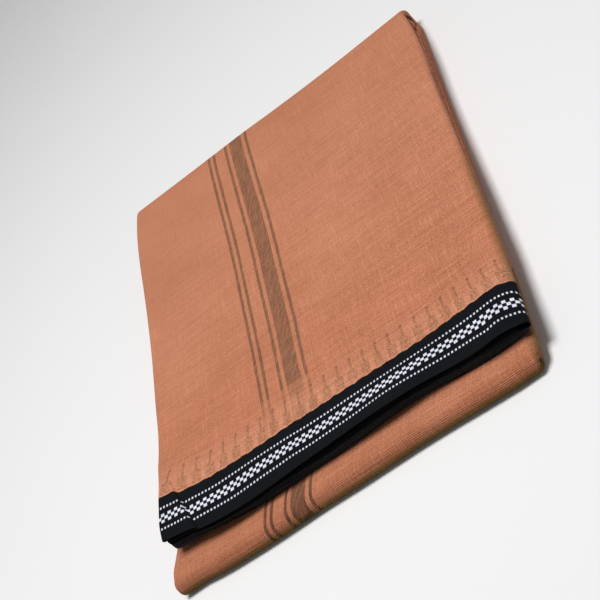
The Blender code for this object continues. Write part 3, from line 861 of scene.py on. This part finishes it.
def weave_group():
    """Plain cotton weave: crossing threads, thick and thin yarns, and slow changes of tone."""
    if "Plain weave" in bpy.data.node_groups:
        return bpy.data.node_groups["Plain weave"]
    loom, given, result = new_group("Plain weave", ("Tone", "Height"), (("Pitch", 0.5), ("Slub", 1.0)))
    across, along = given["Across"], given["Along"]
    turn = loom.math("DIVIDE", 2 * pi, given["Pitch"])
    warp = loom.math("SINE", loom.times(across, turn))
    weft = loom.math("SINE", loom.times(along, turn))
    threads = loom.times(warp, weft)
    long_yarns = loom.streaks(across, along, (1.1, 0.04))
    cross_yarns = loom.streaks(across, along, (0.035, 1.0), 7.3)
    long_slub = loom.streaks(across, along, (1.2, 0.06), 12.7, 0.0)
    cross_slub = loom.streaks(across, along, (0.05, 1.2), 15.1, 0.0)
    slubs = loom.math("ADD", loom.beyond(long_slub, 0.7, 0.14), loom.beyond(cross_slub, 0.7, 0.14))
    fleck = loom.noise(loom.vector(across, along, 3.1), 1.05, 2.0, 0.7)
    slow = loom.noise(loom.vector(across, along, 9.2), 0.021, 2.0)
    yarns = loom.ramp(long_yarns, 0.6, cross_yarns)
    yarns = loom.times(loom.minus(yarns, 0.8), given["Slub"])
    to_ends = loom.math("ABSOLUTE", loom.minus(along, CLOTH_MIDDLE))
    rough = loom.ramp(to_ends, 0.0032, loom.ramp(across, 0.003, 0.45))
    tone = loom.ramp(yarns, 0.3, loom.times(slubs, 0.08))
    tone = loom.vary(tone, fleck, 0.56)
    tone = loom.ramp(tone, loom.math("MAXIMUM", rough, 0.4), 1.0)
    tone = loom.vary(tone, slow, 0.24)
    tone = loom.ramp(threads, 0.05, tone)
    loom.join(tone, result["Tone"])
    height = loom.ramp(threads, 0.25, loom.times(yarns, 0.8))
    loom.join(loom.ramp(fleck, 0.8, height), result["Height"])
    return loom.tree


# Body stripes: middle and half width, from the first stripe's line, and depth of colour
STRIPES = ((0.0, 1.05, 1.0), (4.5, 1.05, 1.0), (14.6, 1.05, 1.0), (23.2, 5.05, 0.88), (32.0, 1.05, 1.0))
STRIPE_REST = 0.2                                     # what is left of them over the border
STRIPE_FADES = ((60.2, 1.6, 0.52), (49.6, 4.0, 0.28))  # line, softness and how much of the stripes comes back
STRIPE_LEAN = -0.45                                   # of the dark yarns in them
TWILL_PITCH = 1.6


def stripe_group():
    """Long stripes of the body cloth. They fade where the border's towers begin."""
    loom, given, result = new_group("Body stripes", ("Stripe",))
    along = given["Along"]
    wobble = loom.noise(loom.vector(0.0, along), 0.11, 2.0)
    across = loom.vary(given["Across"], wobble, 0.5)
    fringe = loom.noise(loom.vector(loom.times(across, 0.3), along, 4.4), 0.9, 1.0)
    across = loom.vary(across, fringe, 0.5)
    stripes = [loom.times(loom.strip(across, middle, half, 0.4), depth) for middle, half, depth in STRIPES]
    lean = loom.ramp(along, STRIPE_LEAN, across)
    twill = loom.wave(lean, TWILL_PITCH)
    uneven = loom.noise(loom.vector(lean, loom.times(along, 0.12), 6.1), 0.95, 2.0)
    mottle = loom.ramp(twill, 0.07, loom.ramp(uneven, 2.3, -0.17))
    shown = STRIPE_REST
    for line, soft, share in STRIPE_FADES:
        shown = loom.ramp(loom.beyond(along, line, soft), share, shown)
    loom.join(loom.all_of(loom.any_of(*stripes), mottle, shown), result["Stripe"])
    return loom.tree


# The border's pattern: lines are from the selvedge, and half sizes are across and along
PATTERN_SHIFT = 3.1  # of its repeats, from the first stripe's line
CHECK_PITCH = 4.39
TOWER_PITCH = 2 * CHECK_PITCH
DOT_LINES = (23.8, 8.6)
DOT_HALF = (0.5, 0.68)
CHECK_LINES = ((14.0, 0.0), (16.2, 0.5), (18.4, 0.0))  # each with its shift, as a share of a repeat
CHECK_HALF = (1.06, 1.03)
BLACK_END = 31.5
KNOT_LINE = 42.1
KNOT_PITCH = 1.7
# Painted light: a lighter peach on the ground of the towers
PAINTED_LIGHT_LINES = (30.0, 2.0, 46.0, 16.0)  # start and end of the brighter ground, each with its softness

# Foot, spire and tip of a tower: middle, half width and softness across, then middle and half height
TOWER_PARTS = table("x wide soft line high", (0.3, 2.8, 0.8, 37.4, 4.3), (0.35, 0.8, 0.6, 46.6, 4.9),
                    (0.8, 0.6, 0.5, 50.4, 1.2))


def border_group():
    """The woven border: black ground, white dots and checks, and the row of small towers over it, with a mask
    of painted light for the body cloth.
    """
    loom, given, result = new_group("Woven border", ("Black", "White", "Tower", "Bright"))
    along = given["Along"]
    across = loom.minus(given["Across"], PATTERN_SHIFT)
    tower = loom.repeat(across, TOWER_PITCH, 0.24)

    scallop = loom.wave(tower, TOWER_PITCH, "COSINE")
    ragged = loom.noise(loom.vector(across, 0.0, 2.2), 0.7, 1.0)
    edge_line = loom.ramp(scallop, -0.28, loom.math("ADD", ragged, BLACK_END))
    loom.join(loom.beyond(loom.minus(edge_line, along), 0.0), result["Black"])

    white = []
    for line in DOT_LINES:
        dot = loom.strip(loom.repeat(across, CHECK_PITCH / 2), 0.0, DOT_HALF[0], 0.3)
        white.append(loom.times(dot, loom.strip(along, line, DOT_HALF[1], 0.3)))
    for line, shift in CHECK_LINES:
        square = loom.strip(loom.repeat(across, CHECK_PITCH, shift), 0.0, CHECK_HALF[0])
        white.append(loom.times(square, loom.strip(along, line, CHECK_HALF[1])))
    loom.join(loom.any_of(*white), result["White"])

    foot, spire, tip = (loom.times(loom.strip(tower, part.x, part.wide, part.soft),
                                   loom.strip(along, part.line, part.high, 0.8)) for part in TOWER_PARTS)
    inputs = {"Vector": loom.vector(across, along), "Scale": 0.85, "Randomness": 0.8}
    stitch = loom.node("ShaderNodeTexVoronoi", inputs, feature="F1", voronoi_dimensions="2D")
    speck = loom.ramp(loom.minus(0.38, stitch.outputs["Distance"]), 5.0, 0.5, clamp=True)
    chance = loom.noise(loom.vector(across, along, 5.5), 0.6, 1.0)
    speck = loom.times(speck, loom.beyond(chance, 0.42, 0.12))
    block = loom.times(foot, loom.ramp(speck, 0.6, 0.2))
    stalk = loom.times(spire, loom.ramp(speck, 0.45, 0.36))
    knots = loom.all_of(loom.strip(loom.repeat(across, KNOT_PITCH, 0.3), 0.0, 0.4, 0.4),
                        loom.strip(tower, 0.0, 2.2, 0.5), loom.strip(along, KNOT_LINE, 0.45, 0.4),
                        loom.beyond(chance, 0.42, 0.1))
    loom.join(loom.any_of(block, stalk, knots, loom.times(tip, 0.85)), result["Tower"])
    # Painted light also over the middle of the flap
    middle = loom.times(loom.strip(along, 220.0, 100.0, 70.0), 0.4)
    loom.join(loom.any_of(loom.between(along, *PAINTED_LIGHT_LINES), middle), result["Bright"])
    return loom.tree


# The near fold, along the cloth: where its ribs and the painted shade on its turn start and end, each with
# its softness
RIB_LINES = (664.0, 8.0, 677.5, 9.0)
PAINTED_TURN_SHADE_LINES = (657.0, 8.0, 670.4, 6.0)
RIB_PITCH = 1.02
BEAD_PITCH = 1.45


def fold_line_group():
    """Close weft ribs that stand out along the near fold, and painted shade on the turn under it."""
    loom, given, result = new_group("Near fold ribs", ("Rib", "Painted turn shade"))
    across, along = given["Across"], given["Along"]
    drift = loom.streaks(across, along, (0.02, 1.0), detail=1.0)
    ribs = loom.ramp(loom.wave(loom.ramp(drift, 0.4, along), RIB_PITCH), 0.5, 0.5)
    beads = loom.ramp(loom.wave(across, BEAD_PITCH), 0.2, 0.8)
    loom.join(loom.all_of(ribs, beads, loom.between(along, *RIB_LINES)), result["Rib"])
    loom.join(loom.between(along, *PAINTED_TURN_SHADE_LINES), result["Painted turn shade"])
    return loom.tree


def use_group(loom, tree, across, along, **values):
    inputs = {"Across": across, "Along": along, **values}
    return loom.node("ShaderNodeGroup", inputs, node_tree=tree).outputs


WARM = (1.0, 0.78, 0.66, 1.0)
COOL = (0.8, 0.85, 1.0, 1.0)


def new_cloth(name, gloss, sheen, tint):
    """An empty woven material. Returns it with its loom, shader, and the places across and along in mm."""
    material = bpy.data.materials.new(name)
    material.use_nodes = True
    loom = Loom(material.node_tree)
    shader = material.node_tree.nodes["Principled BSDF"]
    loom.feed(shader, {"Specular IOR Level": gloss, "Sheen Weight": sheen, "Sheen Roughness": 0.6,
                       "Sheen Tint": tint})
    across, along = loom.millimetres(loom.node("ShaderNodeUVMap", uv_map=THREADS).outputs[0])
    return material, loom, shader, across, along


# Where the cloth takes painted shade over the spine, each with its softness
SPINE_TURN_X = (118.2, 5.0)
SPINE_TURN_Y = (-10.0, 40.0)
SPINE_TURN_LEAN = 0.0135
SPINE_TURN_LOWER = 4.6      # how much earlier it starts on the lower panel


def spine_shade_mask(loom, lower):
    """Where painted shade falls on the outer cloth as it turns over the spine, along its front half."""
    x, y = loom.millimetres(loom.node("ShaderNodeTexCoord").outputs["Object"])
    x = loom.ramp(lower, SPINE_TURN_LOWER, loom.ramp(y, SPINE_TURN_LEAN, x))
    return loom.times(loom.beyond(x, *SPINE_TURN_X), loom.opposite(loom.beyond(y, *SPINE_TURN_Y)))


def add_threads(loom, shader, roughness, tone, height, depth):
    """Relief of the threads, whose darker places are a little rougher."""
    loom.join(loom.ramp(tone, -0.1, roughness + 0.1), shader.inputs["Roughness"])
    bump = loom.node("ShaderNodeBump", {"Strength": 1.0, "Distance": depth * MM, "Height": height})
    loom.join(bump.outputs["Normal"], shader.inputs["Normal"])


# Finishes of the cloth: its border, its body, and the turn at the near fold
FINISHES = table(
    "name gloss sheen",
    ("Black woven border", 0.04, 0.005),
    ("Peach dhoti cotton", 0.21, 0.075),
    ("Peach near fold", 0.045, 0.007),
)
FINISH_LINES = (32.4, 657.0, 670.4)  # along the cloth, where one gives way to the next
FINISH_ORDER = (0, 1, 2, 1)
LOWER_START = (640.0, 30.0)  # along the cloth, a little before the near fold, and its softness


def cloth_material(cloth, finish):
    """Peach body cloth with its stripes and the woven border, in one of its finishes, with painted light and
    shade.
    """
    if finish.name in bpy.data.materials:
        return bpy.data.materials[finish.name]
    material, loom, shader, across, along = new_cloth(finish.name, finish.gloss, finish.sheen, WARM)
    weave = use_group(loom, weave_group(), across, along, Pitch=0.52, Slub=1.0)
    stripe = use_group(loom, stripe_group(), across, along)["Stripe"]
    border = use_group(loom, border_group(), across, along)
    fold = use_group(loom, fold_line_group(), across, along)

    lower = loom.beyond(along, *LOWER_START)
    # Painted light: a lighter peach over the towers' ground and the middle of the flap
    body = loom.blend(border["Bright"], cloth.peach, cloth.peach_painted_light)
    # Painted shade: the lower panel takes a little of the shaded peach
    body = loom.blend(loom.times(lower, 0.15), body, cloth.peach_painted_shade)
    body = loom.blend(stripe, body, cloth.stripe)
    body = loom.blend(border["Tower"], body, cloth.tower)
    # Painted shade between the ribs of the near fold
    body = loom.blend(loom.times(fold["Rib"], 0.9), body, cloth.rib)
    # Painted shade over the spine, a little stronger on the lower panel
    side = loom.times(spine_shade_mask(loom, lower), loom.ramp(lower, 0.08, 0.6))
    # Painted shade on the turn under the near fold and over the spine
    body = loom.blend(loom.any_of(loom.times(fold["Painted turn shade"], 0.88), side), body, cloth.turn)
    # The stripes are darker on the lower panel, with painted shade between the ribs over them
    deep = loom.all_of(stripe, lower, loom.ramp(fold["Rib"], -0.4, -0.3))
    body = loom.shade(body, loom.math("ADD", deep, 1.0))
    body = loom.weather(body, weave["Tone"])
    ground = loom.blend(border["White"], cloth.black, cloth.white)
    ground = loom.shade(ground, loom.ramp(weave["Tone"], 0.8, 0.2))
    loom.join(loom.blend(border["Black"], body, ground), shader.inputs["Base Color"])

    raised = loom.ramp(border["White"], 0.8, weave["Height"])
    raised = loom.ramp(fold["Rib"], -3.6, raised)
    add_threads(loom, shader, 0.86, weave["Tone"], raised, cloth.weave_depth)
    return material


def folded_material(cloth):
    """The same cotton on the folded edges, in closely packed layers, with painted shade along the layers, in
    the hollows and over the spine.
    """
    material, loom, shader, across, along = new_cloth("Peach folded layers", 0.22, 0.06, WARM)
    weave = use_group(loom, weave_group(), across, along, Pitch=0.55, Slub=1.3)
    # Painted shade: streaks along the packed layers, between the shaded and the plain peach
    worn = loom.streaks(across, along, (0.8, 0.05), detail=3.0)
    body = loom.blend(worn, cloth.peach_painted_shade, cloth.peach)
    # Painted shade in the hollows beside the inner turn; elsewhere the colour is made a fifth lighter
    hollow_shade = loom.any_of(*(loom.strip(along, S_BACK + row.place, 0.7 * row.half, 4.5) for row in HOLLOWS))
    body = loom.shade(body, loom.ramp(hollow_shade, -1.08, 1.2))
    # Painted shade where the cloth turns over the spine
    body = loom.blend(loom.times(spine_shade_mask(loom, 0.0), 0.55), body, cloth.turn)
    loom.join(loom.shade(body, weave["Tone"]), shader.inputs["Base Color"])
    add_threads(loom, shader, 0.9, weave["Tone"], weave["Height"], cloth.weave_depth)
    return material


def black_material(name, tone):
    """Black border cloth, seen at its edges."""
    material, loom, shader, across, along = new_cloth(name, 0.04, 0.0, COOL)
    weave = use_group(loom, weave_group(), across, along, Pitch=0.5, Slub=1.6)
    faded = loom.streaks(across, along, (0.05, 1.3))
    ground = loom.shade(tone, loom.ramp(faded, 0.9, 0.5))
    loom.join(loom.shade(ground, weave["Tone"]), shader.inputs["Base Color"])
    add_threads(loom, shader, 0.9, weave["Tone"], weave["Height"], 0.1)
    return material


def dress(piece, *materials):
    piece.data.materials.clear()
    for material in materials:
        piece.data.materials.append(material)


def dress_sheet(piece, cloth):
    """Give each face of a sheet the finish of its place along the cloth."""
    mesh = piece.data
    chart = np.empty(2 * len(mesh.loops))
    mesh.uv_layers[THREADS].data.foreach_get("uv", chart)
    first_corners = np.empty(len(mesh.polygons), np.int32)
    mesh.polygons.foreach_get("loop_start", first_corners)
    along = np.minimum.reduceat(chart[1::2], first_corners) / MM
    finishes = np.array(FINISH_ORDER)[np.searchsorted(FINISH_LINES, along)]
    worn = np.unique(finishes)
    dress(piece, *(cloth_material(cloth, FINISHES[number]) for number in worn))
    mesh.polygons.foreach_set("material_index", np.searchsorted(worn, finishes).astype(np.int32))


# ---- settings ----

def colour(name, description, default):
    return bpy.props.FloatVectorProperty(name=name, description=description, default=default, size=4,
                                         subtype="COLOR", min=0.0, max=1.0)


class DHOTI_PG_cloth(bpy.types.PropertyGroup):
    """Sizes and colours of the cloth, with the colours of its painted light and shade."""
    thickness: bpy.props.FloatProperty(
        name="Cloth thickness", description="Thickness of the outermost layer, in millimetres", default=0.42,
        min=0.2, max=0.6)
    crease_height: bpy.props.FloatProperty(
        name="Crease height", description="Rise of the flap left of its crease, in millimetres", default=2.4,
        min=0.0, max=4.0)
    crease_shift: bpy.props.FloatProperty(
        name="Crease shift", description="How far the cloth left of the crease is drawn back, in millimetres",
        default=2.2, min=0.0, max=4.0)
    weave_depth: bpy.props.FloatProperty(
        name="Weave depth", description="Relief of the threads, in millimetres", default=0.10,
        min=0.0, max=0.4)
    peach: colour("Peach", "Body cloth", (0.505, 0.186, 0.095, 1.0))
    # Painted light on the body cloth
    peach_painted_light: colour("Peach with painted light", "Body cloth between the towers", (0.575, 0.236, 0.132, 1.0))
    # Painted shade on the body cloth, for the lower panel and the folded layers
    peach_painted_shade: colour("Shaded peach", "Body cloth deep in its folds", (0.42, 0.15, 0.08, 1.0))
    stripe: colour("Stripe", "Long stripes of the body cloth", (0.225, 0.098, 0.050, 1.0))
    tower: colour("Towers", "Small towers woven over the border", (0.26, 0.105, 0.048, 1.0))
    # Painted shade between the ribs
    rib: colour("Painted rib shade", "Between the ribs along the near fold", (0.25, 0.066, 0.027, 1.0))
    # Painted shade where the cloth turns under at the near fold and over the spine
    turn: colour("Painted fold shade", "Body cloth where it turns under at the near fold", (0.085, 0.064, 0.008, 1.0))
    black: colour("Black", "Ground of the border", (0.0068, 0.0082, 0.0098, 1.0))
    # Painted shade on the border ends hidden under the flap
    black_painted_shade: colour("Black with painted shade", "Border cloth deep in its folds", (0.005, 0.0052, 0.0065, 1.0))
    # Painted light: a lighter black on the selvedges of the lower border ends
    black_painted_light: colour("Black with painted light", "Selvedges of the lower border ends", (0.035, 0.0358, 0.038, 1.0))
    white: colour("White", "Dots and checks of the border", (0.74, 0.77, 0.87, 1.0))


class DHOTI_PG_stage(bpy.types.PropertyGroup):
    """Light and floor."""
    key_power: bpy.props.FloatProperty(
        name="Key light", description="Power of the broad light over the parcel", default=15.1, min=0.0,
        unit="POWER")
    fill: bpy.props.FloatProperty(
        name="Fill", description="Strength of the even light all round", default=0.2, min=0.0)
    floor: colour("Floor", "Pale table under the parcel", (0.86, 0.86, 0.86, 1.0))
    lens: bpy.props.FloatProperty(
        name="Lens", description="Focal length of the camera", default=81.0, min=10.0, unit="CAMERA")


# ---- operators ----

class DHOTI_OT_flap(bpy.types.Operator):
    """Lay the flap: the border, the body cloth on top and the far fold"""
    bl_idname = "dhoti.flap"
    bl_label = "Flap"

    def execute(self, context):
        cloth = context.scene.dhoti_cloth
        run = joined(top_course(BORDER_EDGE, -84.0, 20), top_course(-81.5, FAR_CENTRE - 2.0, 78),
                     far_course(24), bottom_course(FAR_CENTRE - 2.5, FLAP_END, 8))
        border, border_chart = border_rows(30, cloth.crease_height)
        body, body_chart = sheet_rows(run, 0.0 * run.y, cloth.crease_height)
        points = np.concatenate((border, body))
        chart = np.concatenate((border_chart, body_chart))
        x, y = points[..., 0], points[..., 1]
        chart[..., 1] -= cloth.crease_shift * crease_share(x, y) * grow(y, *CREASE_DRAW_RUN)
        piece = new_grid("flap_sheet", points, chart)
        thicken(piece, cloth.thickness)
        dress_sheet(piece, cloth)
        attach(piece, "root")
        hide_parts("outer_flap", "outer_border")
        return {"FINISHED"}


class DHOTI_OT_lower(bpy.types.Operator):
    """Lay the lower stretch: the underside, the near fold and the lower panel"""
    bl_idname = "dhoti.lower"
    bl_label = "Lower stretch"

    def execute(self, context):
        cloth = context.scene.dhoti_cloth
        run = joined(bottom_course(FLAP_END - 0.05, NEAR_CENTRE + 1.5, 84), near_course(26),
                     lower_course(NEAR_CENTRE + 1.2, LOWER_END, 44))
        piece = new_grid("lower_sheet", *sheet_rows(run, lower_top(run.y) / 2 - BAND - 0.05))
        thicken(piece, cloth.thickness)
        dress_sheet(piece, cloth)
        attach(piece, "root")
        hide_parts("lower_panel", "under_panel")
        return {"FINISHED"}


class DHOTI_OT_folded_layers(bpy.types.Operator):
    """Build the hidden layers as one form, layered at its edges"""
    bl_idname = "dhoti.folded_layers"
    bl_label = "Folded layers"

    def execute(self, context):
        cloth = context.scene.dhoti_cloth
        run = joined(top_course(BORDER_EDGE, FAR_CENTRE - 2.0, 84), far_course(18),
                     bottom_course(FAR_CENTRE - 2.0, NEAR_CENTRE + 2.0, 92), near_course(18),
                     lower_course(NEAR_CENTRE + 2.0, LOWER_END, 22),
                     lower_course(LOWER_END + 1.0, FAR_CENTRE - 3.0, 78), turn_course(9),
                     inner_course(FAR_CENTRE - 3.0, BORDER_EDGE, 84))
        piece = new_grid("folded_layers", *band_loops(run))
        close_tube(piece)
        dress(piece, folded_material(cloth))
        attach(piece, "root")
        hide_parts("hidden_layers")
        return {"FINISHED"}


class DHOTI_OT_border_layers(bpy.types.Operator):
    """Build the black border ends of the hidden layers, above and below"""
    bl_idname = "dhoti.border_layers"
    bl_label = "Border layers"

    def execute(self, context):
        cloth = context.scene.dhoti_cloth
        made = (
            # The upper border ends take the black with painted shade
            ("border_layers_upper", "border_inner_layers", cloth.black_painted_shade, UPPER_ENDS),
            # The lower border ends take the lighter black with painted light
            ("border_layers_lower", "second_border", cloth.black_painted_light, LOWER_ENDS),
        )
        for name, node, tone, ends in made:
            piece = new_grid(name, *border_loops(ends))
            close_tube(piece)
            dress(piece, black_material(name.replace("_", " ").capitalize(), tone[:3]))
            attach(piece, "root")
            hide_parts(node)
        return {"FINISHED"}


# Places on the stage, in metres
CAMERA_PLACE = (0.26182, -0.61291, 0.45088)
CAMERA_AXES = ((0.76926, -0.11837, -0.62788), (0.53984, 0.64608, 0.53959), (0.34179, -0.75404, 0.5609))
CAMERA_SENSOR = 36.0  # in millimetres
LIGHT_PLACE = (-0.04, -0.17, 1.3)
LIGHT_SIDE = 0.42
FLOOR_SIDE = 12.0
FLOOR_DROP = 0.0002


def put_on_stage(context, name, data):
    thing = bpy.data.objects.new(name, data)
    context.scene.collection.objects.link(thing)
    return thing


class DHOTI_OT_stage(bpy.types.Operator):
    """Set the pale floor, the soft light and the camera"""
    bl_idname = "dhoti.stage"
    bl_label = "Stage"

    def execute(self, context):
        stage = context.scene.dhoti_stage
        bpy.ops.object.select_all(action="DESELECT")
        bpy.ops.mesh.primitive_grid_add(x_subdivisions=8, y_subdivisions=8, size=FLOOR_SIDE,
                                        location=(0.0, 0.0, -FLOOR_DROP))
        floor = context.object
        floor.name = "floor"
        material = bpy.data.materials.new("Pale table")
        material.use_nodes = True
        loom = Loom(material.node_tree)
        shader = material.node_tree.nodes["Principled BSDF"]
        tone = loom.ramp(loom.noise(loom.node("ShaderNodeTexCoord").outputs["Object"], 3.0), 0.02, 0.99)
        loom.feed(shader, {"Roughness": 0.9, "Specular IOR Level": 0.1,
                           "Base Color": loom.shade(stage.floor[:3], tone)})
        dress(floor, material)

        lamp = bpy.data.lights.new("Broad light", "AREA")
        lamp.energy = stage.key_power
        lamp.shape = "SQUARE"
        lamp.size = LIGHT_SIDE
        light = put_on_stage(context, "Broad light", lamp)
        light.location = LIGHT_PLACE
        light.rotation_euler = (-light.location).to_track_quat("-Z", "Y").to_euler()

        world = bpy.data.worlds.new("Even light")
        world.use_nodes = True
        background = world.node_tree.nodes["Background"]
        background.inputs["Color"].default_value = (1.0, 1.0, 1.0, 1.0)
        background.inputs["Strength"].default_value = stage.fill
        context.scene.world = world
        context.scene.view_settings.view_transform = "Standard"

        lens = bpy.data.cameras.new("Camera")
        lens.lens = stage.lens
        lens.sensor_width = CAMERA_SENSOR
        camera = put_on_stage(context, "Camera", lens)
        turn = Matrix(CAMERA_AXES).transposed()
        camera.matrix_world = Matrix.Translation(CAMERA_PLACE) @ turn.to_4x4()
        context.scene.camera = camera
        return {"FINISHED"}


class DHOTI_PT_panel(bpy.types.Panel):
    """Steps and settings of the folded dhoti cloth"""
    bl_idname = "DHOTI_PT_panel"
    bl_label = "Folded dhoti cloth"
    bl_space_type = "VIEW_3D"
    bl_region_type = "UI"
    bl_category = "Dhoti"

    def draw(self, context):
        for operator in OPERATORS:
            self.layout.operator(operator.bl_idname)
        for settings in (context.scene.dhoti_cloth, context.scene.dhoti_stage):
            for name in settings.__annotations__:
                self.layout.prop(settings, name)


OPERATORS = (DHOTI_OT_flap, DHOTI_OT_lower, DHOTI_OT_folded_layers, DHOTI_OT_border_layers, DHOTI_OT_stage)
CLASSES = (DHOTI_PG_cloth, DHOTI_PG_stage) + OPERATORS + (DHOTI_PT_panel,)


def register():
    for cls in CLASSES:
        bpy.utils.register_class(cls)
    bpy.types.Scene.dhoti_cloth = bpy.props.PointerProperty(type=DHOTI_PG_cloth)
    bpy.types.Scene.dhoti_stage = bpy.props.PointerProperty(type=DHOTI_PG_stage)


def unregister():
    del bpy.types.Scene.dhoti_stage
    del bpy.types.Scene.dhoti_cloth
    for cls in reversed(CLASSES):
        bpy.utils.unregister_class(cls)


def main():
    register()
    bpy.ops.dhoti.flap()
    bpy.ops.dhoti.lower()
    bpy.ops.dhoti.folded_layers()
    bpy.ops.dhoti.border_layers()
    bpy.ops.dhoti.stage()
    bpy.context.view_layer.update()


if __name__ == "__main__":
    main()
